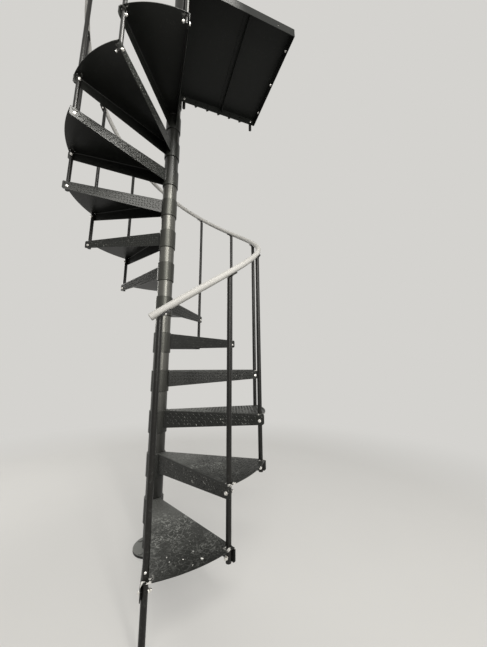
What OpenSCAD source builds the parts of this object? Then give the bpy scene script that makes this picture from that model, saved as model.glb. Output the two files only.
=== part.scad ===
// Spiral staircase in painted steel. Twelve pressed treads are threaded on a centre
// column, each joined to the next at its outer corner by a round baluster, and the
// balusters carry one helical handrail up to a square landing with its own guard.
// Millimetres, +Z up. The origin is the column's axis at the underside of the base.

/* [Stair] */
// Height from the floor to the first tread's top
first_rise = 240; // [200:5:260]
// Height from one tread to the next
rise = 220; // [200:5:240]
// Turn from one baluster to the next, in degrees
step_angle = 30.4; // [28:0.2:32]
// Radius of the treads' curved outer edge
stair_radius = 606; // [560:1:800]
// Distance from that edge in to the axes of the balusters
baluster_inset = 22; // [18:1:40]

/* [Column] */
// Outside diameter of the centre pipe
column_d = 76; // [60:1:90]
// Wall of the centre pipe
column_wall = 4; // [3:0.5:8]
// Gap between the centre pipe and the sleeves that slide over it
sleeve_fit = 0.5; // [0.2:0.1:1]
// Wall of the spacer sleeves between the treads
spacer_wall = 6; // [4:0.5:9]
// Wall of the collar that each tread is welded to
collar_wall = 11.5; // [10:0.5:16]
// Height of each collar
collar_height = 118; // [110:1:150]
// Chamfer on the collars' rims
collar_chamfer = 1.5; // [0.5:0.5:4]
// How far the column's free top stands above the guard's top rail
newel_rise = 60; // [40:5:250]
// Height of the domed cap on the column
cap_height = 18; // [10:1:40]
// How far the cap stands out round the column
cap_lip = 4; // [2:0.5:8]

/* [Base] */
// Diameter of the round base plate
base_d = 180; // [180:5:300]
// Thickness of the base plate
base_t = 10; // [6:1:16]
// Distance of the anchor holes' axes in from the base plate's edge
anchor_inset = 15; // [12:1:35]
// Diameter of each anchor hole
anchor_hole_d = 14; // [10:1:18]
// Number of anchor holes
anchor_count = 4; // [3:1:8]

/* [Treads] */
// Thickness of the pressed tread plate
plate_t = 3; // [2:0.5:5]
// Inside radius of the bends along the two sloping sides
bend_radius = 4; // [2:0.5:8]
// Depth of the side flanges at the collar
flange_hub_depth = 93; // [80:1:105]
// Depth of the side flanges at their outer ends
flange_end_depth = 54; // [40:1:75]
// How far the flange ends run past the curved outer edge
flange_overrun = 2; // [0:1:20]
// Corner cut on the lower outer corner of each flange
flange_corner = 7; // [2:1:15]
// Gap left round a baluster where it passes through a plate
baluster_gap = 1; // [0.5:0.5:3]

/* [Balusters] */
// Diameter of the balusters and guard posts
baluster_d = 22; // [18:1:30]
// How far a baluster hangs below the flange it is bolted to
baluster_drop = 1; // [0:1:40]
// Diameter of the holes for the bolts that join flanges and balusters
bolt_hole_d = 9; // [6:0.5:10]
// Depth of those holes' axes below the tops of the treads
bolt_drop = 35; // [25:1:40]
// Diameter of the foot under the first baluster
foot_d = 62; // [50:1:90]
// Thickness of that foot
foot_t = 5; // [3:1:8]
// Diameter of the foot's two screw holes
foot_hole_d = 6; // [4:0.5:8]

/* [Handrail] */
// Diameter of the handrail and of the guard's top rail
rail_d = 30; // [26:1:44]
// Height of the handrail's top above the front edge of each tread
handrail_height = 905; // [850:5:1000]
// How far the handrail runs on past the first and last balusters
rail_overhang = 33; // [20:1:120]
// Thickness of the end caps
rail_cap_t = 4; // [2:0.5:8]
// Width of the flat tongues that carry the rail
tongue_w = 32; // [26:1:40]
// Thickness of the tongues
tongue_t = 5; // [3:0.5:6]
// Reach of a tongue along the rail, uphill of its baluster
tongue_reach = 42; // [34:1:60]
// Depth to which a tongue is hollowed for the rail
tongue_hollow = 1; // [0.5:0.5:2]
// Reach of a tongue along the rail, downhill of its baluster
tongue_tail = 9; // [6:1:12]
// Diameter of the screw hole in a tongue
tongue_hole_d = 5; // [4:0.5:8]
// Distance of that hole from the baluster's axis, uphill along the rail
tongue_hole_reach = 12; // [10:1:20]
// Gap between a baluster's round top and the rail, which the tongue's neck spans
neck_gap = 8; // [6:1:30]

/* [Landing] */
// How far the landing's two far faces stand out beyond the treads' curved edge
landing_margin = 14; // [5:1:200]
// Thickness of the landing's plate
landing_plate_t = 4; // [3:0.5:8]
// Depth of the edge bars below the landing's top
landing_depth = 55; // [45:1:100]
// Thickness of the edge bars
edge_bar_t = 3; // [3:0.5:8]
// Distance from the column's axis to the middle of the stiffening angle
stiffener_x = 333; // [200:1:450]
// Width of the stiffening angle under the plate
stiffener_w = 30; // [20:1:50]
// Thickness of that angle
stiffener_t = 4; // [3:0.5:6]
// Diameter of the fixing holes in the front and wall edge bars
fixing_hole_d = 11; // [8:1:14]
// Distance between the two fixing holes of a bar
fixing_pitch = 420; // [200:5:500]

/* [Guard] */
// Height of the guard's top above the landing
guard_height = 915; // [850:5:950]
// Gap between the landing's collar and the first guard post
guard_post_gap = 4; // [2:1:20]
// Distance from the landing's wall face in to the axis of the last post
guard_end_inset = 30; // [20:1:60]
// How far the two guard posts hang below the edge bar
guard_post_drop = 38; // [5:1:60]
// Number of balusters between the two guard posts
guard_infill_count = 5; // [3:1:8]
// Height of those balusters' lower ends above the edge bar's lower edge
guard_infill_lift = 15; // [0:1:30]
// How far the guard's top rail runs past the last post
guard_rail_overhang = 20; // [15:1:30]

/* [Hidden] */

$fn = 64;
// Overlap of cutting shapes past the faces that they cut
cut = 1;
// Overlap of a tread's two halves, in degrees
half_overlap = 4;
// Treads between the floor and the landing
tread_count = 12;
// Direction of the landing's entry edge, in degrees from +X
landing_direction = -90;

// Circle of the anchor holes' axes
anchor_circle_d = base_d - 2 * anchor_inset;

// Column and sleeves, as radii
column_r = column_d / 2;
bore_r = column_r + sleeve_fit;
spacer_r = bore_r + spacer_wall;
collar_r = bore_r + collar_wall;

// Levels
landing_top = tread_top(tread_count + 1);
column_top = landing_top + guard_height + newel_rise;

// Balusters and flanges
baluster_r = baluster_d / 2;
baluster_circle = stair_radius - baluster_inset;
bend_outer = bend_radius + plate_t;
flange_outer = baluster_r + plate_t;
flange_reach = stair_radius + flange_overrun;
passage_r = baluster_r + baluster_gap;

// Handrail
rail_r = rail_d / 2;
rail_slope = atan(rise / (baluster_circle * step_angle * PI / 180));
overhang_steps = rail_overhang / (baluster_circle * step_angle * PI / 180);
rail_sides = 20;
rail_rings_per_step = 6;
lower_joint_number = 4;
upper_joint_number = 8;

// Saddles: how far below the rail's centre line the tongues' undersides and the
// balusters' tops lie
tongue_under = rail_r + tongue_t - tongue_hollow;
baluster_under = rail_r / cos(rail_slope) + baluster_r * tan(rail_slope) + neck_gap;

// Landing and guard
landing_side = stair_radius + landing_margin;
landing_left = -baluster_r - edge_bar_t;
landing_back = -baluster_r;
landing_under = landing_top - landing_plate_t;
landing_bottom = landing_top - landing_depth;
fixing_drop = (landing_plate_t + landing_depth) / 2;
guard_first = collar_r + guard_post_gap + baluster_r;
guard_last = landing_side - guard_end_inset;
guard_rail_z = landing_top + guard_height - rail_r;

// Height of the top of tread number i; the landing counts as the last one
function tread_top(i) = first_rise + (i - 1) * rise;

// Direction of baluster number k; it stands where tread k meets tread k + 1
function baluster_angle(k) = landing_direction + (k - tread_count) * step_angle;

// Height of the handrail's centre line, s steps up from the first baluster
function rail_z(s) = tread_top(s + 1) + handrail_height - rail_r / cos(rail_slope);

// Distance from the column's axis to guard upright number i, the posts being first and last
function guard_x(i) = guard_first + (guard_last - guard_first) * i / (guard_infill_count + 1);

// Corners of one ring round the handrail, square to its slope
function rail_ring(s) =
    let (a = baluster_angle(s))
    [for (j = [0 : rail_sides - 1])
        let (t = 360 * j / rail_sides, out = rail_r * cos(t), up = rail_r * sin(t))
        [
            (baluster_circle + out) * cos(a) + up * sin(rail_slope) * sin(a),
            (baluster_circle + out) * sin(a) - up * sin(rail_slope) * cos(a),
            rail_z(s) + up * cos(rail_slope)
        ]
    ];

// Handrail from s0 to s1 steps up from the first baluster
module rail_section(s0, s1) {
    rings = ceil((s1 - s0) * rail_rings_per_step);
    points = [for (i = [0 : rings]) each rail_ring(s0 + (s1 - s0) * i / rings)];
    sides = [
        for (i = [0 : rings - 1], j = [0 : rail_sides - 1])
            let (k = (j + 1) % rail_sides, a = i * rail_sides, b = a + rail_sides)
            each [[a + j, b + j, b + k], [a + j, b + k, a + k]]
    ];
    first = [for (j = [0 : rail_sides - 1]) j];
    last = [for (j = [rail_sides - 1 : -1 : 0]) rings * rail_sides + j];
    polyhedron(points, concat(sides, [first, last]), convexity = 10);
}

// Places its children at the handrail, with +X outwards and +Y uphill along the rail
module on_rail(s) {
    rotate(baluster_angle(s))
        translate([baluster_circle, 0, rail_z(s)])
            rotate([rail_slope, 0, 0])
                children();
}

// Round bar along +Y from y0 to y1
module bar_y(r, y0, y1) {
    translate([0, y0, 0])
        rotate([-90, 0, 0])
            cylinder(r = r, h = y1 - y0);
}

// Ring standing on Z = 0, chamfered at both rims
module chamfered_sleeve(r_in, r_out, h, chamfer) {
    rotate_extrude()
        polygon([
            [r_in, 0], [r_out - chamfer, 0], [r_out, chamfer],
            [r_out, h - chamfer], [r_out - chamfer, h], [r_in, h]
        ]);
}

module base_plate() {
    color("#2b2d2c")
        difference() {
            cylinder(d = base_d, h = base_t);
            for (i = [0 : anchor_count - 1])
                rotate(45 + i * 360 / anchor_count)
                    translate([anchor_circle_d / 2, 0, -cut])
                        cylinder(d = anchor_hole_d, h = base_t + 2 * cut);
        }
}

module centre_column() {
    color("#262827")
        translate([0, 0, base_t])
            difference() {
                cylinder(r = column_r, h = column_top - base_t);
                translate([0, 0, -cut])
                    cylinder(r = column_r - column_wall, h = column_top - base_t + 2 * cut);
            }
}

module column_cap() {
    rim = column_r + cap_lip;
    rim_height = cap_height / 3;
    dome_height = cap_height - rim_height;
    color("#262827")
        translate([0, 0, column_top])
            rotate_extrude()
                polygon(concat(
                    [[0, 0], [rim, 0]],
                    [for (t = [0 : 10 : 90]) [rim * cos(t), rim_height + dome_height * sin(t)]]
                ));
}

// Spacers: the lowest stands on the base plate, the others on the collars below them
module spacer_sleeves() {
    color("#262827")
        for (k = [0 : tread_count]) {
            bottom = k == 0 ? base_t : tread_top(k);
            top = tread_top(k + 1) - collar_height;
            translate([0, 0, bottom])
                difference() {
                    cylinder(r = spacer_r, h = top - bottom);
                    translate([0, 0, -cut])
                        cylinder(r = bore_r, h = top - bottom + 2 * cut);
                }
        }
}

// Collar hanging below Z = 0
module collar() {
    translate([0, 0, -collar_height])
        chamfered_sleeve(bore_r, collar_r, collar_height, collar_chamfer);
}

// Tapered flange of a tread's leading side, which runs along +X
module side_flange() {
    translate([0, -baluster_r, 0])
        rotate([90, 0, 0])
            linear_extrude(plate_t)
                polygon([
                    [bore_r, -bend_outer],
                    [flange_reach, -bend_outer],
                    [flange_reach, flange_corner - flange_end_depth],
                    [flange_reach - flange_corner, -flange_end_depth],
                    [collar_r, -flange_hub_depth],
                    [bore_r, -flange_hub_depth]
                ]);
}

// Bend between that flange and the plate, with the strips of both that it joins
module side_bend() {
    translate([0, bend_outer - flange_outer, -bend_outer])
        rotate([90, 0, 90])
            linear_extrude(stair_radius + cut) {
                intersection() {
                    difference() {
                        circle(bend_outer);
                        circle(bend_radius);
                    }
                    translate([-bend_outer, 0])
                        square(bend_outer);
                }
                translate([-bend_outer, -bend_outer])
                    square([plate_t, bend_outer]);
                translate([0, bend_radius])
                    square([flange_outer, plate_t]);
            }
}

// Plate of a little over half a tread with its side bend, cut to the curved outer edge
module half_plate() {
    intersection() {
        union() {
            rotate_extrude(angle = step_angle / 2 + half_overlap)
                translate([bore_r, -plate_t])
                    square([stair_radius + cut - bore_r, plate_t]);
            side_bend();
        }
        translate([0, 0, -bend_outer - cut])
            cylinder(r = stair_radius, h = bend_outer + 2 * cut);
    }
}

// Bolt hole at height z, square through the axis of a baluster that stands along +X
module bolt_hole(z) {
    translate([baluster_circle, 0, z])
        rotate([90, 0, 0])
            cylinder(d = bolt_hole_d, h = 2 * (flange_outer + cut), center = true);
}

// A little over half a tread, with its side flange and the hole for its baluster; the
// tread's middle lies along +X
module tread_half() {
    rotate(-step_angle / 2)
        difference() {
            union() {
                half_plate();
                side_flange();
            }
            translate([baluster_circle, 0, -bend_outer - cut])
                cylinder(r = passage_r, h = bend_outer + 2 * cut);
            bolt_hole(-bolt_drop);
        }
}

// One tread with its middle along +X and its top at Z = 0
module tread_body() {
    difference() {
        union() {
            tread_half();
            mirror([0, 1, 0])
                tread_half();
            collar();
        }
        translate([0, 0, -collar_height - cut])
            cylinder(r = bore_r, h = collar_height + 2 * cut);
    }
}

// Tread number i, counted from the floor
module tread(i) {
    color("#303332")
        translate([0, 0, tread_top(i)])
            rotate(baluster_angle(i - 0.5))
                tread_body();
}

// Foot of the first baluster, screwed to the floor
module baluster_foot() {
    color("#262827")
        rotate(baluster_angle(0))
            translate([baluster_circle, 0, 0])
                difference() {
                    cylinder(d = foot_d, h = foot_t);
                    for (side = [-1, 1])
                        translate([0, side * (foot_d + baluster_d) / 4, -cut])
                            cylinder(d = foot_hole_d, h = foot_t + 2 * cut);
                }
}

// Baluster number k, from below the tread's rear flange up to its saddle
module baluster(k) {
    bottom = k == 0 ? foot_t : tread_top(k) - flange_end_depth - baluster_drop;
    top = rail_z(k) - baluster_under;
    color("#262827")
        rotate(baluster_angle(k))
            difference() {
                translate([baluster_circle, 0, bottom])
                    cylinder(r = baluster_r, h = top - bottom);
                if (k > 0)
                    bolt_hole(tread_top(k) - bolt_drop);
                bolt_hole(tread_top(k + 1) - (k == tread_count ? fixing_drop : bolt_drop));
            }
}

// Point beside the rail, as [uphill, up] from its centre line over a baluster
function beside_rail(along, up) = [
    along * cos(rail_slope) - up * sin(rail_slope),
    along * sin(rail_slope) + up * cos(rail_slope)
];

// Tongue under the rail with a round uphill end and a screw hole
module tongue() {
    end_y = tongue_reach - tongue_w / 2;
    translate([0, 0, -tongue_under])
        linear_extrude(tongue_t)
            difference() {
                union() {
                    translate([-tongue_w / 2, -tongue_tail])
                        square([tongue_w, tongue_tail + end_y]);
                    translate([0, end_y])
                        circle(d = tongue_w);
                }
                translate([0, tongue_hole_reach])
                    circle(d = tongue_hole_d);
            }
}

// Neck that widens from a round baluster up to its tongue, and is sloped off downhill
module neck() {
    middle_under = tongue_under - tongue_t / 2;
    low_corner = beside_rail(-tongue_tail, -middle_under);
    high_corner = [baluster_r, baluster_r * tan(rail_slope) - middle_under / cos(rail_slope)];
    intersection() {
        translate([-tongue_w, 0, 0])
            rotate([90, 0, 90])
                linear_extrude(2 * tongue_w)
                    polygon([
                        [-baluster_r - cut, -baluster_under], [baluster_r + cut, -baluster_under],
                        high_corner, low_corner
                    ]);
        translate([0, 0, -baluster_under])
            cylinder(r1 = baluster_r, r2 = tongue_w / 2, h = baluster_under);
    }
}

// Saddle on top of each baluster, hollowed for the rail that it carries
module rail_saddles() {
    color("#1f2120")
        for (k = [0 : tread_count])
            difference() {
                union() {
                    on_rail(k)
                        tongue();
                    rotate(baluster_angle(k))
                        translate([baluster_circle, 0, rail_z(k)])
                            neck();
                }
                on_rail(k)
                    bar_y(rail_r, -2 * tongue_reach, 2 * tongue_reach);
            }
}

// Caps that close the handrail's two ends
module handrail_end_caps() {
    color("#d9d2c6") {
        on_rail(-overhang_steps)
            bar_y(rail_r, -rail_cap_t, 0);
        on_rail(tread_count + overhang_steps)
            bar_y(rail_r, 0, rail_cap_t);
    }
}

// Landing plate, cut out round its collar and round the last baluster
module landing_plate() {
    color("#303332")
        translate([0, 0, landing_under])
            difference() {
                translate([landing_left, -landing_side, 0])
                    cube([landing_side - landing_left, landing_side + landing_back, landing_plate_t]);
                translate([0, 0, -cut])
                    cylinder(r = collar_r, h = landing_plate_t + 2 * cut);
                rotate(landing_direction)
                    translate([baluster_circle, 0, -cut])
                        cylinder(r = passage_r, h = landing_plate_t + 2 * cut);
            }
}

module landing_collar() {
    color("#262827")
        translate([0, 0, landing_top])
            collar();
}

// Edge bar from corner a to corner b, under the plate
module edge_bar(a, b) {
    translate([a.x, a.y, landing_bottom])
        cube([b.x - a.x, b.y - a.y, landing_under - landing_bottom]);
}

// Two holes a fixing_pitch apart along X, through a bar that is edge_bar_t thick
module fixing_holes() {
    for (side = [-1, 1])
        translate([side * fixing_pitch / 2, 0, 0])
            rotate([90, 0, 0])
                cylinder(d = fixing_hole_d, h = 3 * edge_bar_t, center = true);
}

module landing_entry_bar() {
    color("#303332")
        difference() {
            edge_bar([landing_left, edge_bar_t - landing_side], [landing_left + edge_bar_t, 0]);
            translate([0, 0, landing_bottom - cut])
                cylinder(r = collar_r, h = landing_depth);
            rotate(landing_direction)
                bolt_hole(landing_top - fixing_drop);
        }
}

module landing_front_bar() {
    middle = (landing_left + landing_side) / 2;
    color("#303332")
        difference() {
            edge_bar([landing_left, -landing_side], [landing_side, edge_bar_t - landing_side]);
            translate([middle, edge_bar_t / 2 - landing_side, landing_top - fixing_drop])
                fixing_holes();
        }
}

module landing_wall_bar() {
    middle = (landing_back - landing_side) / 2;
    color("#303332")
        difference() {
            edge_bar(
                [landing_side - edge_bar_t, edge_bar_t - landing_side],
                [landing_side, landing_back]
            );
            translate([landing_side - edge_bar_t / 2, middle, landing_top - fixing_drop])
                rotate(90)
                    fixing_holes();
        }
}

module landing_guard_bar() {
    color("#303332")
        difference() {
            edge_bar([0, landing_back - edge_bar_t], [landing_side - edge_bar_t, landing_back]);
            translate([0, 0, landing_bottom - cut])
                cylinder(r = collar_r, h = landing_depth);
            for (i = [0 : guard_infill_count + 1])
                guard_bolt_hole(guard_x(i));
        }
}

// Angle under the middle of the plate, between the front and guard bars
module landing_stiffener() {
    length = landing_side + landing_back - 2 * edge_bar_t;
    color("#262827")
        translate([stiffener_x + stiffener_w / 2, edge_bar_t - landing_side, landing_under])
            rotate([90, 0, 180])
                linear_extrude(length)
                    polygon([
                        [0, 0], [stiffener_w, 0], [stiffener_w, -stiffener_t],
                        [stiffener_t, -stiffener_t], [stiffener_t, -stiffener_w], [0, -stiffener_w]
                    ]);
}

// Bolt hole through a guard upright and the bar that it stands against
module guard_bolt_hole(x) {
    translate([x - baluster_circle, 0, 0])
        bolt_hole(landing_top - fixing_drop);
}

// Upright of the guard from the given level up into the underside of the top rail
module guard_upright(x, bottom) {
    difference() {
        translate([x, 0, bottom])
            cylinder(r = baluster_r, h = guard_rail_z - bottom);
        guard_bolt_hole(x);
        translate([x - 2 * baluster_r, 0, guard_rail_z])
            rotate([0, 90, 0])
                cylinder(r = rail_r, h = 4 * baluster_r);
    }
}

// End posts, bolted to the outer face of the guard bar
module guard_posts() {
    color("#262827")
        for (i = [0, guard_infill_count + 1])
            guard_upright(guard_x(i), landing_bottom - guard_post_drop);
}

module guard_balusters() {
    color("#262827")
        for (i = [1 : guard_infill_count])
            guard_upright(guard_x(i), landing_bottom + guard_infill_lift);
}

// Top rail, shaped at one end to the column
module guard_top_rail() {
    color("#d9d2c6")
        difference() {
            translate([0, 0, guard_rail_z])
                rotate([0, 90, 0])
                    cylinder(r = rail_r, h = guard_last + guard_rail_overhang);
            translate([0, 0, guard_rail_z - 2 * rail_r])
                cylinder(r = column_r, h = 4 * rail_r);
        }
}

base_plate();
centre_column();
column_cap();
spacer_sleeves();
tread(1);  // tread_01
tread(2);  // tread_02
tread(3);  // tread_03
tread(4);  // tread_04
tread(5);  // tread_05
tread(6);  // tread_06
tread(7);  // tread_07
tread(8);  // tread_08
tread(9);  // tread_09
tread(10);  // tread_10
tread(11);  // tread_11
tread(12);  // tread_12
baluster_foot();
baluster(0);  // baluster_00
baluster(1);  // baluster_01
baluster(2);  // baluster_02
baluster(3);  // baluster_03
baluster(4);  // baluster_04
baluster(5);  // baluster_05
baluster(6);  // baluster_06
baluster(7);  // baluster_07
baluster(8);  // baluster_08
baluster(9);  // baluster_09
baluster(10);  // baluster_10
baluster(11);  // baluster_11
baluster(12);  // baluster_12
color("#d9d2c6") rail_section(-overhang_steps, lower_joint_number);  // handrail_lower
color("#d9d2c6") rail_section(lower_joint_number, upper_joint_number);  // handrail_middle
color("#d9d2c6") rail_section(upper_joint_number, tread_count + overhang_steps);  // handrail_upper
handrail_end_caps();
rail_saddles();
landing_plate();
landing_collar();
landing_entry_bar();
landing_front_bar();
landing_wall_bar();
landing_guard_bar();
landing_stiffener();
guard_posts();
guard_balusters();
guard_top_rail();
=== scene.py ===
"""Finishes, chequered pattern, bolts, welds and smooth rail of a steel spiral staircase."""
import math
import random

import bmesh
import bpy
from mathutils import Matrix, Vector


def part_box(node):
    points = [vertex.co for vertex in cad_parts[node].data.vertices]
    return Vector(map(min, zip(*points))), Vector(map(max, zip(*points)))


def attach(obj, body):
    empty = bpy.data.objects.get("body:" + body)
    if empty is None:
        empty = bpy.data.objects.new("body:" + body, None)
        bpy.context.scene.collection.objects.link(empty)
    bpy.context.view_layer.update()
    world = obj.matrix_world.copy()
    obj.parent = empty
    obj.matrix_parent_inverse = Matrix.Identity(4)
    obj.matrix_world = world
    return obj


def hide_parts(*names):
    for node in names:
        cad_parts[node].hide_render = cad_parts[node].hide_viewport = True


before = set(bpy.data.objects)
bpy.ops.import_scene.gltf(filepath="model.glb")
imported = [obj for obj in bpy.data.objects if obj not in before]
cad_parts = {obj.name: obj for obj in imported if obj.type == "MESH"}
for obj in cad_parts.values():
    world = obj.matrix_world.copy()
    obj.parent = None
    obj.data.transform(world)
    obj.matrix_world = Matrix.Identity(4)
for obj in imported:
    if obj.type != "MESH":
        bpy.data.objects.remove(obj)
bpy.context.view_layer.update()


def middle(node):
    """Middle of a node's box."""
    low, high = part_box(node)
    return (low + high) / 2


def half_width(node):
    """Half of a round node's width."""
    low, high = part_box(node)
    return (high.x - low.x) / 2


def direction(point):
    """Angle of a point round the column."""
    return math.atan2(point.y, point.x)


# Sizes read from the frame, in metres and radians
TREADS = sorted(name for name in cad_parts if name.startswith("tread_"))
COUNT = len(TREADS)
BALUSTERS = [f"baluster_{number:02d}" for number in range(COUNT + 1)]
LAST_BALUSTER = middle(BALUSTERS[-1])
LAST_ANGLE = direction(LAST_BALUSTER)
STEP_ANGLE = (LAST_ANGLE - direction(middle(BALUSTERS[-2]))) % (2 * math.pi)
HALF_STEP = STEP_ANGLE / 2
BALUSTER_CIRCLE = LAST_BALUSTER.xy.length
BALUSTER_R = half_width(BALUSTERS[-1])
BALUSTER_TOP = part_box(BALUSTERS[0])[1].z
FIRST_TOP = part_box(TREADS[0])[1].z
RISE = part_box(TREADS[1])[1].z - FIRST_TOP
COLLAR_R = half_width("landing_collar")
BASE_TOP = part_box("base_plate")[1].z
FOOT_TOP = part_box("baluster_foot")[1].z
LANDING_LOW, LANDING_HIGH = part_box("landing_plate")
LANDING_MIDDLE = (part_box("landing_guard_bar")[0].z + LANDING_HIGH.z) / 2
POSTS_LOW, POSTS_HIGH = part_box("guard_posts")
GUARD_RAIL_LOW, GUARD_RAIL_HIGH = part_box("guard_top_rail")
RAIL_R = (GUARD_RAIL_HIGH.z - GUARD_RAIL_LOW.z) / 2

# Sizes of the steelwork that the boxes don't give
PLATE_T = 0.003
BEND_R = 0.007
BALUSTER_INSET = 0.022
EDGE_R = BALUSTER_CIRCLE + BALUSTER_INSET
FLANGE_FACE = BALUSTER_R + PLATE_T
FLANGE_HUB_DEPTH = 0.093
FLANGE_END_DEPTH = 0.054
BOLT_DROP = 0.035
ANCHOR_COUNT = 4
ANCHOR_CIRCLE_R = 0.075
FIRST_ANCHOR_ANGLE = math.radians(45)
FIXING_SPACING = 0.21
GUARD_BAYS = 6

# Lugs of the chequered plate; the crown is the share of length and width that the top keeps
LUG_LENGTH = 0.0165
LUG_WIDTH = 0.0058
LUG_HEIGHT = 0.0014
LUG_SIDES = 8
LUG_CROWN = (0.7, 0.25, 1)
LUG_TURN = 45
LUG_PITCH = 0.017

# Room from a lug's middle to any edge, and what is added to it at a weld and at a hole
LUG_ROOM = 0.0072
WELD_ROOM = 0.005
HOLE_ROOM = 0.002

# Bolts, nuts and screws
WASHER_R = 0.0078
WASHER_T = 0.0014
WASHER_EASING = 0.0004
HEX_ACROSS = 0.0115
HEX_EASING = 0.0008
HEAD_T = 0.005
BOSS_R = 0.46 * HEX_ACROSS
BOSS_T = 0.0006
NUT_T = 0.0062
THREAD_R = 0.004
THREAD_VALLEY_R = 0.86 * THREAD_R
THREAD_PITCH = 0.00125
THREAD_LENGTH = 0.004
ANCHOR_HEAD_R = 0.0105
ANCHOR_HEAD_T = 0.0025
ANCHOR_EASING = 0.0018
FOOT_SCREW_R = 0.0045
FOOT_SCREW_RISE = 0.55
FOOT_SCREW_REACH = 0.021
SIDE_SCREW_LIFT = 0.022
SADDLE_SCREW_R = 0.005
SADDLE_SCREW_RISE = 1.1

# Weld beads; the ripple gives the shares of the radius that rings have in turn
BEAD_R = 0.0026
BEAD_RIPPLE = (0.9, 1.12)
BEAD_SIDES = 7
BEAD_STEPS = 25
BEAD_STEP = 0.0035
WELD_REACH = 0.009

# Handrail and the tongues under it; the rail's start and length are counted in steps
RAIL_OVERHANG = 0.033
RAIL_SLOPE = math.atan(RISE / (BALUSTER_CIRCLE * STEP_ANGLE))
RAIL_START = -RAIL_OVERHANG / (BALUSTER_CIRCLE * STEP_ANGLE)
RAIL_STEPS = COUNT - 2 * RAIL_START
RAIL_RINGS = 190
RAIL_SIDES = 32
PLUG_T = 0.004
PLUG_EASING = 0.0038
NECK_GAP = 0.008
TONGUE_T = 0.005
TONGUE_HOLLOW = 0.001
TONGUE_UNDER = RAIL_R + TONGUE_T - TONGUE_HOLLOW
TONGUE_HOLE = 0.012
FIRST_RAIL_HEIGHT = (
    BALUSTER_TOP + RAIL_R / math.cos(RAIL_SLOPE) + BALUSTER_R * math.tan(RAIL_SLOPE) + NECK_GAP
)

# Crumbs of plaster on the first tread, as (distance from the axis, angle in degrees, width)
CRUMBS = [
    (0.525, -76.9, 0.006), (0.578, -75.8, 0.012), (0.547, -81.8, 0.006), (0.511, -87.3, 0.006),
    (0.538, -86.7, 0.005), (0.59, -79.7, 0.005),
]
CRUMB_LIFT = 0.0016

# Shares of its width that a crumb keeps along each axis, and that a corner of it may have
CRUMB_FORM = (1, 0.6, 0.5, 1)
CRUMB_LEAST = 0.75
CRUMB_MOST = 1.1


def stair_angle(number):
    """Direction of a baluster; tread n lies between balusters n - 1 and n."""
    return LAST_ANGLE + (number - COUNT) * STEP_ANGLE


def level(number):
    """Top of a tread, counted from one; the landing comes after the last."""
    return FIRST_TOP + (number - 1) * RISE


def turned(angle, x=0.0, y=0.0, z=0.0):
    """Place with x outwards from the column, y uphill and z up."""
    return Matrix.Rotation(angle, 4, "Z") @ Matrix.Translation((x, y, z))


def facing(side):
    """Turn that points z along y, or against it for a side of -1."""
    return Matrix.Rotation(-side * math.pi / 2, 4, "X")


def tilt(axis, degrees):
    """Turn about an axis."""
    return Matrix.Rotation(math.radians(degrees), 4, axis)


# Camera at the photograph's viewing angle
PHOTO_HEIGHT = 647
PHOTO_WIDTH = 487
VIEW_CENTRE_X = 240.04
VIEW_CENTRE_Y = 318.96
FOCAL_PIXELS = 258.66
SENSOR = 36.0
EYE = Vector((-0.0983, -1.6114, 0.9049))
YAW = math.radians(-20.31)
PITCH = math.radians(10.97)
ROLL = math.radians(-0.247)


def make_camera():
    """Wide camera at eye level, looking a little up and to the right."""
    data = bpy.data.cameras.new("camera")
    data.sensor_width = SENSOR
    data.lens = SENSOR * FOCAL_PIXELS / PHOTO_HEIGHT
    data.shift_x = (PHOTO_WIDTH / 2 - VIEW_CENTRE_X) / PHOTO_HEIGHT
    data.shift_y = (VIEW_CENTRE_Y - PHOTO_HEIGHT / 2) / PHOTO_HEIGHT
    data.clip_start = 0.01
    camera = bpy.data.objects.new("camera", data)
    bpy.context.scene.collection.objects.link(camera)
    upright = Matrix.Rotation(YAW, 4, "Z") @ Matrix.Rotation(math.pi / 2 + PITCH, 4, "X")
    camera.matrix_world = Matrix.Translation(EYE) @ upright @ Matrix.Rotation(ROLL, 4, "Z")
    bpy.context.scene.camera = camera


# Node wiring


def rgb(red, green, blue):
    """Linear colour with full opacity."""
    return (red, green, blue, 1.0)


def add(tree, kind, inputs=None, **settings):
    """Adds a node; an input is a value, or a socket to join."""
    node = tree.nodes.new(kind)
    for name, value in settings.items():
        setattr(node, name, value)
    for name, value in (inputs or {}).items():
        if isinstance(value, bpy.types.NodeSocket):
            tree.links.new(value, node.inputs[name])
        else:
            node.inputs[name].default_value = value
    return node


def maths(tree, operation, *values, clamp=False):
    """Output of a Math node."""
    node = add(
        tree, "ShaderNodeMath", dict(enumerate(values)), operation=operation, use_clamp=clamp,
    )
    return node.outputs[0]


def product(tree, first, *others):
    """All values multiplied together."""
    for other in others:
        first = maths(tree, "MULTIPLY", first, other)
    return first


def fade(tree, value, low, high):
    """0 below low, 1 above high and smooth between."""
    node = add(
        tree, "ShaderNodeMapRange",
        {"Value": value, "From Min": low, "From Max": high},
        interpolation_type="SMOOTHSTEP",
    )
    return node.outputs["Result"]


def fade_out(tree, value, low, high):
    """1 below low, 0 above high and smooth between."""
    return maths(tree, "SUBTRACT", 1.0, fade(tree, value, low, high))


def between(tree, mask, at_zero, at_one):
    """Value that goes straight from one number to another as a mask goes from 0 to 1."""
    return maths(tree, "MULTIPLY_ADD", mask, at_one - at_zero, at_zero)


def noise(tree, place, scale, detail=3.0, roughness=0.5, distortion=0.0):
    """Noise value at a place."""
    node = add(tree, "ShaderNodeTexNoise", {
        "Vector": place, "Scale": scale, "Detail": detail,
        "Roughness": roughness, "Distortion": distortion,
    })
    return node.outputs["Fac"]


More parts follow.
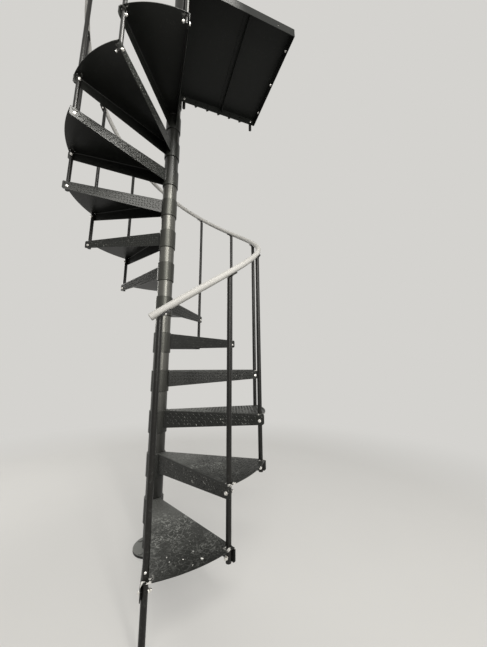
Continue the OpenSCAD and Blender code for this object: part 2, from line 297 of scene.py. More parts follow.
def mixed(tree, factor, first, second):
    """Colour between two."""
    node = add(
        tree, "ShaderNodeMix", {"Factor": factor, "A": first, "B": second},
        data_type="RGBA", clamp_factor=True,
    )
    return node.outputs["Result"]


def place_of(tree):
    """Object coordinates, whole and split."""
    place = add(tree, "ShaderNodeTexCoord").outputs["Object"]
    return place, add(tree, "ShaderNodeSeparateXYZ", {0: place}).outputs


def from_axis(tree, parts):
    """Distance from the column's axis."""
    flat = add(tree, "ShaderNodeCombineXYZ", {"X": parts["X"], "Y": parts["Y"]}).outputs[0]
    return add(tree, "ShaderNodeVectorMath", {0: flat}, operation="LENGTH").outputs["Value"]


def facing_up(tree, low, high):
    """1 on faces that look up and 0 on steep ones, going by the upward part of the normal."""
    normal = add(tree, "ShaderNodeNewGeometry").outputs["Normal"]
    return fade(tree, add(tree, "ShaderNodeSeparateXYZ", {0: normal}).outputs["Z"], low, high)


FLOAT = "NodeSocketFloat"
COLOR = "NodeSocketColor"


def new_group(name, inputs, outputs):
    """Empty node group; inputs are (name, kind, value) and outputs (name, kind)."""
    group = bpy.data.node_groups.new(name, "ShaderNodeTree")
    for label, kind, value in inputs:
        socket = group.interface.new_socket(label, in_out="INPUT", socket_type=kind)
        socket.default_value = value
    for label, kind in outputs:
        group.interface.new_socket(label, in_out="OUTPUT", socket_type=kind)
    given = group.nodes.new("NodeGroupInput").outputs
    return group, given, group.nodes.new("NodeGroupOutput").inputs


def grouped(tree, group, **values):
    """Places a node group with its own values; an underscore stands for a space."""
    node = tree.nodes.new("ShaderNodeGroup")
    node.node_tree = group
    for name, value in values.items():
        node.inputs[name.replace("_", " ")].default_value = value
    return node.outputs


# Heights and distances from the axis between which wear, dust and the painted sheen come or go, in
# metres; the sheen fades out near the floor and under the landing as painted shade
SCUFFED_BELOW = (0.45, 1.1)
SCUFFED_BEYOND = (0.14, 0.5)
CHIPPED_BELOW = (0.5, 1.2)
CHIPPED_BEYOND = (BALUSTER_CIRCLE - 0.012, BALUSTER_CIRCLE - 0.004)
CHIP_DROP = (0.004, 0.009)
CHIP_START = 0.012
DUSTY_BELOW = 0.2
BASE_DUST_BELOW = (0.012, 0.02)
PALE_NEAR_COLUMN_WITHIN = (0.17, 0.36)
TRAMPED_BEYOND = (0.16, 0.26)
TRAMPED_WITHIN = (0.38, 0.66)
PAINTED_SHEEN_ABOVE = (0.3, 1.05)
PAINTED_SHEEN_BELOW = (1.93, 2.25)
SHEEN_WITHIN = (COLLAR_R + 0.001, COLLAR_R + 0.002)


# Effects that several finishes share


def make_paint_group():
    """Sprayed paint: cloudy colour, fine grain, and scuffs, most of them low down and far out."""
    group, given, out = new_group(
        "worn_paint",
        [("Paint", COLOR, rgb(0.02, 0.02, 0.02)), ("Scuff Colour", COLOR, rgb(0.2, 0.2, 0.2)),
         ("Scuffs", FLOAT, 0.3), ("Clouding", FLOAT, 0.3), ("Dullness", FLOAT, 0.4),
         ("Grain", FLOAT, 400.0)],
        [("Color", COLOR), ("Roughness", FLOAT), ("Height", FLOAT)],
    )
    place, parts = place_of(group)
    clouds = noise(group, place, scale=7.0, detail=4.0, roughness=0.6)
    shade = maths(group, "MULTIPLY_ADD", clouds, given["Clouding"], 0.85)
    tinted = add(
        group, "ShaderNodeMix", {"Factor": 1.0, "A": given["Paint"], "B": shade},
        data_type="RGBA", blend_type="MULTIPLY",
    ).outputs["Result"]
    patches = fade(group, noise(group, place, scale=14.0), 0.36, 0.6)
    streaks = noise(group, place, scale=95.0, detail=5.0, roughness=0.7, distortion=1.5)
    strokes = fade(group, streaks, 0.53, 0.66)
    trodden = between(group, fade_out(group, parts["Z"], *SCUFFED_BELOW), 0.35, 1.0)
    kicked = between(group, facing_up(group, 0.5, 0.8), 1.0, 0.25)
    far_out = between(group, fade(group, from_axis(group, parts), *SCUFFED_BEYOND), 0.3, 1.0)
    scuffed = product(group, patches, strokes, trodden, kicked, far_out, given["Scuffs"])
    rough = maths(group, "MULTIPLY_ADD", clouds, 0.12, given["Dullness"])
    peel = noise(group, place, scale=given["Grain"], detail=2.0)
    links = group.links
    links.new(mixed(group, scuffed, tinted, given["Scuff Colour"]), out["Color"])
    links.new(maths(group, "MULTIPLY_ADD", scuffed, 0.3, rough), out["Roughness"])
    links.new(maths(group, "MULTIPLY_ADD", scuffed, -0.6, peel), out["Height"])
    return group


def make_dust_group():
    """Mask of pale plaster dust on faces that look up, thickest on the lowest treads, with a flat
    paler tone near the column.
    """
    group, given, out = new_group(
        "settled_dust",
        [("Amount", FLOAT, 1.0), ("Clear Height", FLOAT, 1.4)],
        [("Mask", FLOAT)],
    )
    place, parts = place_of(group)
    upward = facing_up(group, 0.35, 0.85)
    low_down = fade_out(group, parts["Z"], DUSTY_BELOW, given["Clear Height"])
    radius = from_axis(group, parts)
    # A flat paler tone on faces that look up, near the column and low down
    pale_near_column = product(group, fade_out(group, radius, *PALE_NEAR_COLUMN_WITHIN), 0.23)
    on_base = product(group, fade_out(group, parts["Z"], *BASE_DUST_BELOW), 0.3)
    tramped = product(
        group, fade(group, radius, *TRAMPED_BEYOND), fade_out(group, radius, *TRAMPED_WITHIN),
    )
    patches = fade(group, noise(group, place, scale=8.0, roughness=0.6), 0.38, 0.58)
    swirl = noise(group, place, scale=14.0, detail=1.0, distortion=4.5)
    off_middle = maths(group, "ABSOLUTE", maths(group, "SUBTRACT", swirl, 0.5))
    curls = fade_out(group, off_middle, 0.016, 0.06)
    wisps = product(group, between(group, product(group, curls, patches), 0.085, 0.585), tramped)
    settled = maths(group, "ADD", maths(group, "ADD", pale_near_column, on_base), wisps)
    mask = product(group, settled, upward, low_down, given["Amount"])
    group.links.new(mask, out["Mask"])
    return group


def make_chip_group():
    """Mask of pale chips at the treads' outer corners, by the nearest tread's height and angle."""
    group, given, out = new_group("corner_chips", [("Reach", FLOAT, 0.03)], [("Mask", FLOAT)])
    place, parts = place_of(group)
    steps_up = maths(group, "DIVIDE", maths(group, "SUBTRACT", parts["Z"], FIRST_TOP), RISE)
    step = maths(group, "ROUND", steps_up)
    drop = product(group, maths(group, "ABSOLUTE", maths(group, "SUBTRACT", steps_up, step)), RISE)
    first_middle = stair_angle(0.5)
    tread_angle = maths(group, "MULTIPLY_ADD", step, STEP_ANGLE, first_middle)
    angle = maths(group, "ARCTAN2", parts["Y"], parts["X"])
    offset = maths(group, "SUBTRACT", angle, tread_angle)
    offset = maths(group, "ABSOLUTE", maths(group, "WRAP", offset, math.pi, -math.pi))
    to_corner = maths(group, "ABSOLUTE", maths(group, "SUBTRACT", offset, HALF_STEP))
    along = product(group, to_corner, BALUSTER_CIRCLE)
    near = fade_out(group, along, CHIP_START, given["Reach"])
    rim = fade(group, from_axis(group, parts), *CHIPPED_BEYOND)
    edge = fade_out(group, drop, *CHIP_DROP)
    chips = fade(group, noise(group, place, scale=70.0), 0.49, 0.55)
    fewer_above = between(group, fade_out(group, parts["Z"], *CHIPPED_BELOW), 0.25, 1.0)
    mask = product(group, near, rim, edge, chips, fewer_above)
    group.links.new(mask, out["Mask"])
    return group


worn_paint = make_paint_group()
settled_dust = make_dust_group()
corner_chips = make_chip_group()


# Colours
CHARCOAL = rgb(0.0105, 0.0112, 0.0098)
BLACK = rgb(0.0068, 0.0064, 0.0054)
COLUMN_GREY = rgb(0.0115, 0.0117, 0.0103)
# Metallic greys of the collars and sleeves, shown only at mid heights: painted sheen there, and
# painted shade in the darker paint below and above
COLLAR_SHEEN_GREY = rgb(0.064, 0.0645, 0.058)
SLEEVE_SHEEN_GREY = rgb(0.122, 0.121, 0.111)
LANDING_GREY = rgb(0.014, 0.015, 0.014)
LUG_GREY = rgb(0.016, 0.017, 0.015)
OFF_WHITE = rgb(0.57, 0.56, 0.54)
GREY_SCUFF = rgb(0.15, 0.155, 0.15)
LUG_SCUFF = rgb(0.42, 0.42, 0.395)
RAIL_SCUFF = rgb(0.45, 0.43, 0.4)
PRIMER = rgb(0.78, 0.77, 0.74)
DUST_GREY = rgb(0.42, 0.43, 0.41)
BRIGHT_ZINC = rgb(0.96, 0.95, 0.93)
STAINED_ZINC = rgb(0.76, 0.74, 0.69)
DAMP_PLASTER = rgb(0.68, 0.67, 0.64)
DRY_PLASTER = rgb(0.86, 0.86, 0.84)
BACKGROUND = rgb(0.66, 0.65, 0.625)
FLOOR_TONES = (rgb(0.76, 0.75, 0.73), rgb(0.80, 0.79, 0.77))
FLOOR_BOUNCE = rgb(0.26, 0.26, 0.25)
SOFT_LIGHT = rgb(1.0, 0.99, 0.95)
LAMP_COLOUR = (1.0, 0.98, 0.93)


# Finishes


def new_material(name):
    """Material with a lone Principled shader, ready to be wired."""
    material = bpy.data.materials.new(name)
    material.use_nodes = True
    tree = material.node_tree
    shader = next(node for node in tree.nodes if node.type == "BSDF_PRINCIPLED")
    return material, tree, shader


def bumped(tree, height, depth, shader):
    """Feeds a height into the shader's normal; depth is in metres."""
    bump = add(tree, "ShaderNodeBump", {"Strength": 0.5, "Distance": depth, "Height": height})
    tree.links.new(bump.outputs["Normal"], shader.inputs["Normal"])


def painted(
    name, paint, scuffs, dullness, specular, scuff_colour=GREY_SCUFF, clouding=0.3,
    grain=400.0, depth=0.0001, dust=0.0, sheen_colour=None, tread=False,
):
    """Painted steel; sheen_colour is the colour of a metallic paint, on a tread's collar alone,
    shown only between two heights as painted sheen, with painted shade near the floor and under
    the landing.
    """
    material, tree, shader = new_material(name)
    coat = grouped(
        tree, worn_paint, Paint=paint, Scuff_Colour=scuff_colour, Scuffs=scuffs,
        Clouding=clouding, Dullness=dullness, Grain=grain,
    )
    colour = coat["Color"]
    rough = coat["Roughness"]
    if sheen_colour:
        # Metallic paint between two heights alone: a painted sheen, with painted shade near the
        # floor and under the landing
        _, parts = place_of(tree)
        height = parts["Z"]
        painted_sheen = product(
            tree, fade(tree, height, *PAINTED_SHEEN_ABOVE), fade_out(tree, height, *PAINTED_SHEEN_BELOW),
        )
        if tread:
            painted_sheen = product(tree, painted_sheen, fade_out(tree, from_axis(tree, parts), *SHEEN_WITHIN))
        colour = mixed(tree, painted_sheen, colour, sheen_colour)
        tree.links.new(product(tree, painted_sheen, 0.8), shader.inputs["Metallic"])
    if tread:
        colour = mixed(tree, grouped(tree, corner_chips)["Mask"], colour, PRIMER)
    if dust > 0:
        settled = grouped(tree, settled_dust, Amount=dust)["Mask"]
        colour = mixed(tree, settled, colour, DUST_GREY)
        rough = maths(tree, "MULTIPLY_ADD", settled, 0.5, rough, clamp=True)
    tree.links.new(colour, shader.inputs["Base Color"])
    tree.links.new(rough, shader.inputs["Roughness"])
    shader.inputs["Specular IOR Level"].default_value = specular
    bumped(tree, coat["Height"], depth, shader)
    return material


def zinc(name):
    """Bright zinc plating, slightly stained."""
    material, tree, shader = new_material(name)
    place, _ = place_of(tree)
    stain = fade(tree, noise(tree, place, scale=160.0, detail=4.0), 0.35, 0.7)
    tree.links.new(mixed(tree, stain, BRIGHT_ZINC, STAINED_ZINC), shader.inputs["Base Color"])
    tree.links.new(between(tree, stain, 0.3, 0.5), shader.inputs["Roughness"])
    shader.inputs["Metallic"].default_value = 1.0
    bumped(tree, noise(tree, place, scale=900.0, detail=2.0), 0.0001, shader)
    return material


def plaster(name):
    """Chalky plaster crumbs."""
    material, tree, shader = new_material(name)
    grain = noise(tree, place_of(tree)[0], scale=900.0)
    tree.links.new(mixed(tree, grain, DAMP_PLASTER, DRY_PLASTER), shader.inputs["Base Color"])
    shader.inputs["Roughness"].default_value = 0.9
    bumped(tree, grain, 0.0006, shader)
    return material


TREAD_PAINT = painted(
    "tread_paint", CHARCOAL, scuffs=0.3, dullness=0.33, specular=0.36, dust=1.0,
    sheen_colour=COLLAR_SHEEN_GREY, tread=True,
)
LUG_PAINT = painted(
    "lug_paint", LUG_GREY, scuffs=2.3, dullness=0.36, specular=0.26, scuff_colour=LUG_SCUFF,
    dust=1.1,
)
SLEEVE_PAINT = painted(
    "sleeve_paint", COLUMN_GREY, scuffs=0.2, dullness=0.29, specular=0.4, depth=0.00004,
    sheen_colour=SLEEVE_SHEEN_GREY,
)
COLUMN_PAINT = painted(
    "column_paint", COLUMN_GREY, scuffs=0.25, dullness=0.3, specular=0.36, dust=1.0,
)
BALUSTER_PAINT = painted("baluster_paint", BLACK, scuffs=0.25, dullness=0.3, specular=0.32)
LANDING_PAINT = painted("landing_paint", LANDING_GREY, scuffs=0.2, dullness=0.42, specular=0.2)
RAIL_PAINT = painted(
    "rail_paint", OFF_WHITE, scuffs=0.3, dullness=0.58, specular=0.3, scuff_colour=RAIL_SCUFF,
    clouding=0.14, grain=16.0,
)
ZINC = zinc("zinc_plating")
PLASTER = plaster("plaster_crumbs")

# Finishes by how a node's name starts, of which the first that fits counts
NODE_PAINTS = {
    "tread": TREAD_PAINT,
    "spacer": SLEEVE_PAINT,
    "baluster": BALUSTER_PAINT,
    "rail_saddles": BALUSTER_PAINT,
    "guard_posts": BALUSTER_PAINT,
    "guard_balusters": BALUSTER_PAINT,
    "guard_top": RAIL_PAINT,
    "handrail": RAIL_PAINT,
    "landing_collar": COLUMN_PAINT,
    "landing": LANDING_PAINT,
}


def paint_of(node):
    """Finish of a node; the column, its cap and its base have the column's."""
    for start, paint in NODE_PAINTS.items():
        if node.startswith(start):
            return paint
    return COLUMN_PAINT


def paint_nodes():
    """Gives every part of the frame its finish."""
    for name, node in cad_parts.items():
        node.data.materials.clear()
        node.data.materials.append(paint_of(name))


# Mesh helpers
SMOOTH_ANGLE = math.radians(35)


def mesh_from(bm, name):
    """Mesh of a finished bmesh, its faces outwards."""
    bmesh.ops.recalc_face_normals(bm, faces=bm.faces)
    mesh = bpy.data.meshes.new(name)
    bm.to_mesh(mesh)
    bm.free()
    return mesh


def piece(name, mesh, material, smooth=False):
    """Makes a mesh a piece of the stair."""
    mesh.name = name
    mesh.materials.append(material)
    if smooth:
        mesh.shade_smooth()
        mesh.set_sharp_from_angle(angle=SMOOTH_ANGLE)
    made = bpy.data.objects.new(name, mesh)
    bpy.context.scene.collection.objects.link(made)
    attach(made, "root")
    return made


def copies(name, shape, places, material, smooth=False):
    """One piece made of a shape at many places."""
    bm = bmesh.new()
    for place in places:
        copy = shape.copy()
        copy.transform(place)
        bm.from_mesh(copy)
        bpy.data.meshes.remove(copy)
    mesh = bpy.data.meshes.new(name)
    bm.to_mesh(mesh)
    bm.free()
    return piece(name, mesh, material, smooth)


def edges_of(verts):
    """Edges between or beside vertices."""
    return list({edge for vert in verts for edge in vert.link_edges})


def disc(bm, radius, low, high, segments, easing=0.0, rounds=2):
    """Round disc from low to high along z, its top rim eased."""
    centre = (low + high) / 2
    made = bmesh.ops.create_cone(
        bm, cap_ends=True, segments=segments, radius1=radius, radius2=radius, depth=high - low,
        matrix=Matrix.Translation((0, 0, centre)),
    )["verts"]
    rim = [edge for edge in edges_of(made) if all(end.co.z > centre for end in edge.verts)]
    if easing > 0:
        bmesh.ops.bevel(
            bm, geom=rim, offset=easing, segments=rounds, profile=0.5, affect="EDGES",
            material=-1, clamp_overlap=True,
        )


# Chequered plate


def lug_shape():
    """One lug, a low mound with its length along x."""
    bm = bmesh.new()
    bmesh.ops.create_circle(bm, cap_ends=True, segments=LUG_SIDES, radius=0.5)
    bmesh.ops.scale(bm, vec=(LUG_LENGTH, LUG_WIDTH, 1), verts=bm.verts)
    top = bmesh.ops.extrude_face_region(bm, geom=list(bm.faces), use_keep_orig=True)
    raised = [item for item in top["geom"] if isinstance(item, bmesh.types.BMVert)]
    bmesh.ops.scale(bm, vec=LUG_CROWN, verts=raised)
    bmesh.ops.translate(bm, vec=(0, 0, LUG_HEIGHT), verts=raised)
    return mesh_from(bm, "lug")


def chequer(low_x, high_x, low_y, high_y):
    """Middles and turns of the lugs over a rectangle, each square to its neighbours."""
    for across in range(math.ceil(low_x / LUG_PITCH), math.floor(high_x / LUG_PITCH) + 1):
        for along in range(math.ceil(low_y / LUG_PITCH), math.floor(high_y / LUG_PITCH) + 1):
            turn = LUG_TURN if (across + along) % 2 else -LUG_TURN
            yield across * LUG_PITCH, along * LUG_PITCH, turn


def clear_of_baluster(point, axis):
    """Whether a lug at a point misses the hole round a baluster."""
    return (Vector(point) - axis).length > BALUSTER_R + HOLE_ROOM + LUG_ROOM


def on_tread(x, y):
    """Whether a lug fits on a tread's top, whose middle lies along x."""
    if not COLLAR_R + WELD_ROOM + LUG_ROOM < math.hypot(x, y) < EDGE_R - LUG_ROOM:
        return False
    inside_edge = x * math.sin(HALF_STEP) - abs(y) * math.cos(HALF_STEP)
    if inside_edge < LUG_ROOM - BEND_R:
        return False
    corner = Vector((math.cos(HALF_STEP), math.sin(HALF_STEP))) * BALUSTER_CIRCLE
    return clear_of_baluster((x, abs(y)), corner)


def on_flange(x, z):
    """Whether a lug fits on a side flange, x out from the column and z up to its top."""
    share = (x - COLLAR_R) / (EDGE_R - COLLAR_R)
    depth = FLANGE_HUB_DEPTH + (FLANGE_END_DEPTH - FLANGE_HUB_DEPTH) * share
    if not COLLAR_R + WELD_ROOM + LUG_ROOM < x < EDGE_R - LUG_ROOM:
        return False
    if not LUG_ROOM - depth < z < -BEND_R - LUG_ROOM / 2:
        return False
    return math.hypot(x - BALUSTER_CIRCLE, z + BOLT_DROP) > WASHER_R + LUG_ROOM


def tread_lug_places(number):
    """Places of the lugs on one tread's top and on its two flanges."""
    centre = stair_angle(number - 0.5)
    top = level(number)
    for x, y, turn in chequer(0, EDGE_R, -EDGE_R, EDGE_R):
        if on_tread(x, y):
            yield turned(centre, x, y, top) @ tilt("Z", turn)
    for side in (-1, 1):
        for x, z, turn in chequer(0, EDGE_R, -FLANGE_HUB_DEPTH, 0):
            if on_flange(x, z):
                stand = turned(centre + side * HALF_STEP, x, side * FLANGE_FACE, top + z)
                yield stand @ facing(side) @ tilt("Z", turn)


def on_landing(x, y):
    """Whether a lug fits on the landing's plate."""
    from_sides = min(x - LANDING_LOW.x, LANDING_HIGH.x - x)
    from_ends = min(y - LANDING_LOW.y, LANDING_HIGH.y - y)
    if min(from_sides, from_ends) <= LUG_ROOM or math.hypot(x, y) <= COLLAR_R + LUG_ROOM:
        return False
    return clear_of_baluster((x, y), LAST_BALUSTER.xy)


def landing_lug_places():
    """Places of the lugs on the landing's plate."""
    for x, y, turn in chequer(LANDING_LOW.x, LANDING_HIGH.x, LANDING_LOW.y, LANDING_HIGH.y):
        if on_landing(x, y):
            yield Matrix.Translation((x, y, LANDING_HIGH.z)) @ tilt("Z", turn)


def make_lugs():
    """Raised pattern of every tread and of the landing."""
    lug = lug_shape()
    for number, tread in enumerate(TREADS, 1):
        copies(f"{tread}_lugs", lug, tread_lug_places(number), LUG_PAINT)
    copies("landing_lugs", lug, landing_lug_places(), LUG_PAINT)


# Bolts, nuts and screws


def washer(bm):
    """Flat washer with an eased rim."""
    disc(bm, WASHER_R, 0, WASHER_T, segments=24, easing=WASHER_EASING)


def hexagon(bm, low, high):
    """Hexagon with an eased top."""
    disc(bm, HEX_ACROSS / math.sqrt(3), low, high, segments=6, easing=HEX_EASING)


def head_shape():
    """Bolt head on its washer, with a low round boss on top."""
    bm = bmesh.new()
    crown = WASHER_T + HEAD_T
    washer(bm)
    hexagon(bm, WASHER_T, crown)
    disc(bm, BOSS_R, crown, crown + BOSS_T, segments=18, easing=WASHER_EASING)
    return mesh_from(bm, "bolt_head")


def thread(bm, low, high):
    """Threaded end of a bolt: each turn is a cone that widens, then one that narrows."""
    for turn in range(int((high - low) / THREAD_PITCH)):
        for base, tip, share in (
            (THREAD_VALLEY_R, THREAD_R, 0.25), (THREAD_R, THREAD_VALLEY_R, 0.75),
        ):
            bmesh.ops.create_cone(
                bm, cap_ends=True, segments=14, radius1=base, radius2=tip,
                depth=THREAD_PITCH / 2,
                matrix=Matrix.Translation((0, 0, low + (turn + share) * THREAD_PITCH)),
            )


def nut_shape():
    """Nut and washer with the bolt's end through them."""
    bm = bmesh.new()
    crown = WASHER_T + NUT_T
    washer(bm)
    hexagon(bm, WASHER_T, crown)
    thread(bm, crown, crown + THREAD_LENGTH)
    return mesh_from(bm, "nut")


def anchor_shape():
    """Low round anchor head."""
    bm = bmesh.new()
    disc(bm, ANCHOR_HEAD_R, 0, ANCHOR_HEAD_T, segments=28, easing=ANCHOR_EASING, rounds=3)
    return mesh_from(bm, "anchor")


def screw_shape(radius, rise):
    """Small round-headed screw; rise is its height over its radius."""
    bm = bmesh.new()
    bmesh.ops.create_uvsphere(bm, u_segments=16, v_segments=8, radius=radius)
    bmesh.ops.bisect_plane(
        bm, geom=bm.verts[:] + bm.edges[:] + bm.faces[:], plane_co=(0, 0, 0),
        plane_no=(0, 0, 1), clear_inner=True,
    )
    bmesh.ops.holes_fill(bm, edges=bm.edges, sides=0)
    bmesh.ops.scale(bm, vec=(1, 1, rise), verts=bm.verts)
    return mesh_from(bm, "screw")


def joint_places():
    """Head and nut places of the bolts that join treads, landing and balusters."""
    heads, nuts = [], []
    for number in range(COUNT + 1):
        above = LANDING_MIDDLE if number == COUNT else level(number + 1) - BOLT_DROP
        joints = [(above, -1)]
        if number > 0:
            joints.append((level(number) - BOLT_DROP, 1))
        angle = stair_angle(number)
        for height, side in joints:
            head = turned(angle, BALUSTER_CIRCLE, side * FLANGE_FACE, height)
            nut = turned(angle, BALUSTER_CIRCLE, -side * BALUSTER_R, height)
            heads.append(head @ facing(side))
            nuts.append(nut @ facing(-side))
    return heads, nuts


def guard_places():
    """Head and nut places of the guard's uprights, from the column outwards."""
    first = POSTS_LOW.x + BALUSTER_R
    last = POSTS_HIGH.x - BALUSTER_R
    across = [first + (last - first) * bay / GUARD_BAYS for bay in range(GUARD_BAYS + 1)]
    heads = [Matrix.Translation((x, -FLANGE_FACE, LANDING_MIDDLE)) @ facing(-1) for x in across]
    nuts = [Matrix.Translation((x, BALUSTER_R, LANDING_MIDDLE)) @ facing(1) for x in across]
    return heads, nuts


def fixing_places():
    """Head places inside the landing's outer bars, at the two holes of each and midway."""
    side_bar = Vector((LANDING_HIGH.x - PLATE_T, middle("landing_wall_bar").y, LANDING_MIDDLE))
    front_bar = Vector((middle("landing_front_bar").x, LANDING_LOW.y + PLATE_T, LANDING_MIDDLE))
    for shift in (-FIXING_SPACING, 0.0, FIXING_SPACING):
        yield Matrix.Translation(side_bar + Vector((0, shift, 0))) @ tilt("Y", -90)
        yield Matrix.Translation(front_bar + Vector((shift, 0, 0))) @ facing(1)


def anchor_places():
    """Places of the anchor heads on the base plate."""
    for number in range(ANCHOR_COUNT):
        angle = FIRST_ANCHOR_ANGLE + 2 * math.pi * number / ANCHOR_COUNT
        yield turned(angle, ANCHOR_CIRCLE_R, 0, BASE_TOP)


def foot_screw_places():
    """Two screws down through the first baluster's foot and one into its outer side."""
    angle = stair_angle(0)
    for side in (-1, 1):
        yield turned(angle, BALUSTER_CIRCLE, side * FOOT_SCREW_REACH, FOOT_TOP)
    outer = turned(angle, BALUSTER_CIRCLE + BALUSTER_R, 0, FIRST_TOP + SIDE_SCREW_LIFT)
    yield outer @ tilt("Y", 90)


def make_bolts():
    """Every bolt, nut and screw that shows; the guard's end posts share the zinc ones."""
    head, nut = head_shape(), nut_shape()
    heads, nuts = joint_places()
    guard_heads, guard_nuts = guard_places()
    heads += [guard_heads[0], guard_heads[-1]]
    nuts += [guard_nuts[0], guard_nuts[-1]]
    dark = BALUSTER_PAINT
    foot_screw = screw_shape(FOOT_SCREW_R, FOOT_SCREW_RISE)
    copies("joint_bolts", head, heads, ZINC, smooth=True)
    copies("joint_nuts", nut, nuts, ZINC, smooth=True)
    copies("guard_bolts", head, guard_heads[1:-1], dark, smooth=True)
    copies("guard_nuts", nut, guard_nuts[1:-1], dark, smooth=True)
    copies("fixing_bolts", head, fixing_places(), ZINC, smooth=True)
    copies(
        "anchor_heads", anchor_shape(), anchor_places(), COLUMN_PAINT, smooth=True,
    )
    copies("foot_screws", foot_screw, foot_screw_places(), ZINC, smooth=True)


# Welds


def bead(bm, points):
    """Rippled weld bead along points."""
    last = None
    for number, point in enumerate(points):
        after = points[min(number + 1, len(points) - 1)]
        before = points[max(number - 1, 0)]
        turn = (after - before).to_track_quat("Z", "Y").to_matrix().to_4x4()
        ring = edges_of(bmesh.ops.create_circle(
            bm, segments=BEAD_SIDES, radius=BEAD_R * BEAD_RIPPLE[number % 2],
            cap_ends=number in (0, len(points) - 1), matrix=Matrix.Translation(point) @ turn,
        )["verts"])
        if last:
            bmesh.ops.bridge_loops(bm, edges=last + ring)
        last = ring


def tread_weld(number):
    """Beads that join one tread to its collar: over and under its plate, and down its flanges."""
    bm = bmesh.new()
    centre = stair_angle(number - 0.5)
    top = level(number)
    spread = HALF_STEP + math.asin(WELD_REACH / COLLAR_R)
    arc = [centre + spread * (2 * step / (BEAD_STEPS - 1) - 1) for step in range(BEAD_STEPS)]
    for height in (top, top - PLATE_T):
        bead(bm, [turned(angle, COLLAR_R, 0, height).translation for angle in arc])
    out = math.sqrt(COLLAR_R ** 2 - FLANGE_FACE ** 2)
    for side in (-1, 1):
        start = turned(centre + side * HALF_STEP, out, side * FLANGE_FACE, top - BEND_R)
        bead(bm, [start @ Vector((0, 0, -BEAD_STEP * step)) for step in range(BEAD_STEPS)])
    return mesh_from(bm, "weld")


def make_welds():
    """Weld beads of all treads."""
    for number, tread in enumerate(TREADS, 1):
        piece(f"{tread}_weld", tread_weld(number), COLUMN_PAINT, smooth=True)


# Handrail


def on_rail(number, x=0.0, y=0.0, z=0.0):
    """Place on the handrail over a baluster, with x outwards and y uphill along it."""
    stand = turned(stair_angle(number), BALUSTER_CIRCLE, 0, FIRST_RAIL_HEIGHT + number * RISE)
    return stand @ Matrix.Rotation(RAIL_SLOPE, 4, "X") @ Matrix.Translation((x, y, z))


def make_rail():
    """Smooth helical tube in one length, closed at both ends."""
    bm = bmesh.new()
    start = on_rail(RAIL_START) @ facing(1)
    ring = bmesh.ops.create_circle(bm, segments=RAIL_SIDES, radius=RAIL_R, matrix=start)["verts"]
    bmesh.ops.spin(
        bm, geom=ring + edges_of(ring), cent=(0, 0, 0), axis=(0, 0, 1),
        dvec=(0, 0, RISE * RAIL_STEPS / RAIL_RINGS), angle=STEP_ANGLE * RAIL_STEPS,
        steps=RAIL_RINGS, use_merge=False, use_duplicate=False,
    )
    bmesh.ops.holes_fill(bm, edges=bm.edges, sides=0)
    rail = piece("handrail", mesh_from(bm, "handrail"), RAIL_PAINT, smooth=True)
    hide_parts("handrail_lower", "handrail_middle", "handrail_upper")


def make_plugs():
    """Rounded plugs in the handrail's ends."""
    bm = bmesh.new()
    disc(bm, RAIL_R, 0, PLUG_T, segments=RAIL_SIDES, easing=PLUG_EASING, rounds=4)
    ends = [on_rail(RAIL_START) @ facing(-1), on_rail(RAIL_START + RAIL_STEPS) @ facing(1)]
    plugs = copies(
        "handrail_plugs", mesh_from(bm, "plug"), ends, RAIL_PAINT, smooth=True,
    )
    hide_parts("handrail_end_caps")


def make_saddle_screws():
    """Screws up through the tongues into the handrail."""
    screw = screw_shape(SADDLE_SCREW_R, SADDLE_SCREW_RISE)
    places = [
        on_rail(number, 0, TONGUE_HOLE, -TONGUE_UNDER) @ tilt("X", 180)
        for number in range(COUNT + 1)
    ]
    copies("saddle_screws", screw, places, ZINC, smooth=True)


def make_crumbs():
    """Small broken lumps lying on the first tread."""
    random.seed(7)
    bm = bmesh.new()
    for radius, angle, width in CRUMBS:
        spot = turned(math.radians(angle), radius, 0, FIRST_TOP + CRUMB_LIFT)
        lump = bmesh.ops.create_icosphere(bm, subdivisions=2, radius=width / 2)["verts"]
        for vert in lump:
            vert.co *= random.uniform(CRUMB_LEAST, CRUMB_MOST)
        place = spot @ tilt("Z", random.uniform(0, 180)) @ Matrix.Diagonal(CRUMB_FORM)
        bmesh.ops.transform(bm, matrix=place, verts=lump)
    piece("plaster_crumbs", mesh_from(bm, "crumbs"), PLASTER)


# Floor and background
FLOOR_R = 14.0
FLOOR_FADE = (0.4, 3.6)
LEAST_FADE = 0.5
SOFT_STRENGTH = 0.2


def seen_directly(tree):
    """1 for rays from the camera, off gloss and through glass, or else 0."""
    path = add(tree, "ShaderNodeLightPath").outputs
    straight = maths(tree, "MAXIMUM", path["Is Camera Ray"], path["Is Glossy Ray"])
    return maths(tree, "MAXIMUM", straight, path["Is Transmission Ray"])


def output_of(tree, kind, surface):
    """Joins a shader to the tree's output."""
    output = next((node for node in tree.nodes if node.bl_idname == kind), None)
    tree.links.new(surface, (output or tree.nodes.new(kind)).inputs["Surface"])


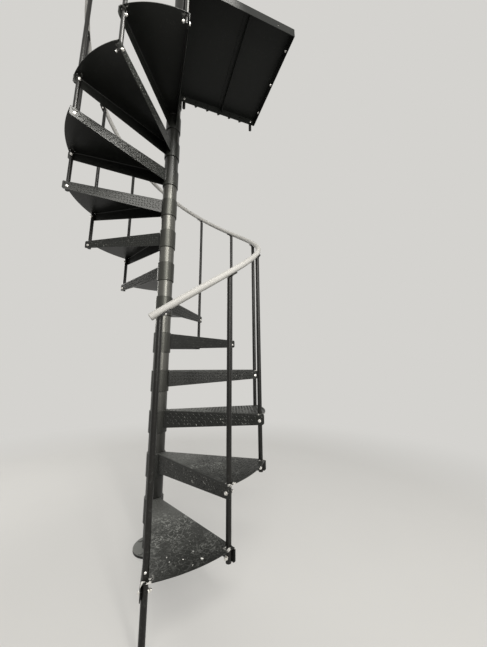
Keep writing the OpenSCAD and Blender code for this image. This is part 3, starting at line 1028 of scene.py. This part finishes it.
def make_floor():
    """Pale floor that fades into the background far off and throws little light back up."""
    bm = bmesh.new()
    bmesh.ops.create_circle(bm, cap_ends=True, segments=64, radius=FLOOR_R)
    floor = bpy.data.objects.new("floor", mesh_from(bm, "floor"))
    bpy.context.scene.collection.objects.link(floor)
    material, tree, shader = new_material("pale_floor")
    place, _ = place_of(tree)
    distance = add(tree, "ShaderNodeVectorMath", {0: place}, operation="LENGTH").outputs["Value"]
    tone = mixed(tree, noise(tree, place, scale=3.0), *FLOOR_TONES)
    direct = seen_directly(tree)
    tree.links.new(mixed(tree, direct, FLOOR_BOUNCE, tone), shader.inputs["Base Color"])
    shader.inputs["Roughness"].default_value = 0.8
    far = add(tree, "ShaderNodeEmission", {"Color": BACKGROUND, "Strength": 1.0})
    faded = maths(tree, "MAXIMUM", fade(tree, distance, *FLOOR_FADE), LEAST_FADE)
    blend = add(tree, "ShaderNodeMixShader", {
        0: product(tree, faded, direct), 1: shader.outputs[0], 2: far.outputs[0],
    })
    output_of(tree, "ShaderNodeOutputMaterial", blend.outputs[0])
    floor.data.materials.append(material)


def make_world():
    """Soft even light, with a pale background to the camera."""
    world = bpy.data.worlds.new("studio")
    bpy.context.scene.world = world
    world.use_nodes = True
    tree = world.node_tree
    tree.nodes.clear()
    soft = add(tree, "ShaderNodeBackground", {"Color": SOFT_LIGHT, "Strength": SOFT_STRENGTH})
    pale = add(tree, "ShaderNodeBackground", {"Color": BACKGROUND, "Strength": 1.0})
    blend = add(tree, "ShaderNodeMixShader", {
        0: seen_directly(tree), 1: soft.outputs[0], 2: pale.outputs[0],
    })
    output_of(tree, "ShaderNodeOutputWorld", blend.outputs[0])


# Lamps, as (name, place, aim, width, height, watts, width of the beam in degrees)
LAMPS = [
    ("high_lamp", (-0.3, -2.7, 3.6), (0.0, 0.0, 1.5), 2.0, 1.3, 64, 180),
    ("upper_lamp", (-0.04, -1.04, 3.0), (-0.52, -0.33, 2.2), 0.9, 0.5, 4.4, 48),
    ("front_lamp", (0.6, -3.6, 2.1), (0.0, 0.0, 1.5), 2.4, 2.0, 44, 180),
    ("narrow_lamp", (0.7, -3.3, 2.3), (0.0, 0.0, 1.6), 0.3, 1.6, 36, 180),
    ("side_lamp", (2.6, -1.8, 2.2), (0.0, 0.0, 1.4), 1.2, 1.8, 8, 180),
    ("back_lamp", (-1.2, 3.4, 2.8), (0.0, 0.0, 2.0), 2.4, 2.0, 56, 180),
]


def make_lamps():
    """Soft rectangular lamps round the stair."""
    for name, place, aim, width, height, power, beam in LAMPS:
        data = bpy.data.lights.new(name, "AREA")
        data.shape = "RECTANGLE"
        data.size = width
        data.size_y = height
        data.energy = power
        data.color = LAMP_COLOUR
        data.spread = math.radians(beam)
        lamp = bpy.data.objects.new(name, data)
        bpy.context.scene.collection.objects.link(lamp)
        lamp.location = place
        lamp.rotation_mode = "QUATERNION"
        lamp.rotation_quaternion = (Vector(aim) - Vector(place)).to_track_quat("-Z", "Y")


make_camera()
paint_nodes()
make_lugs()
make_bolts()
make_welds()
make_rail()
make_plugs()
make_saddle_screws()
make_crumbs()
make_floor()
make_world()
make_lamps()

bpy.context.scene.view_settings.view_transform = "Standard"
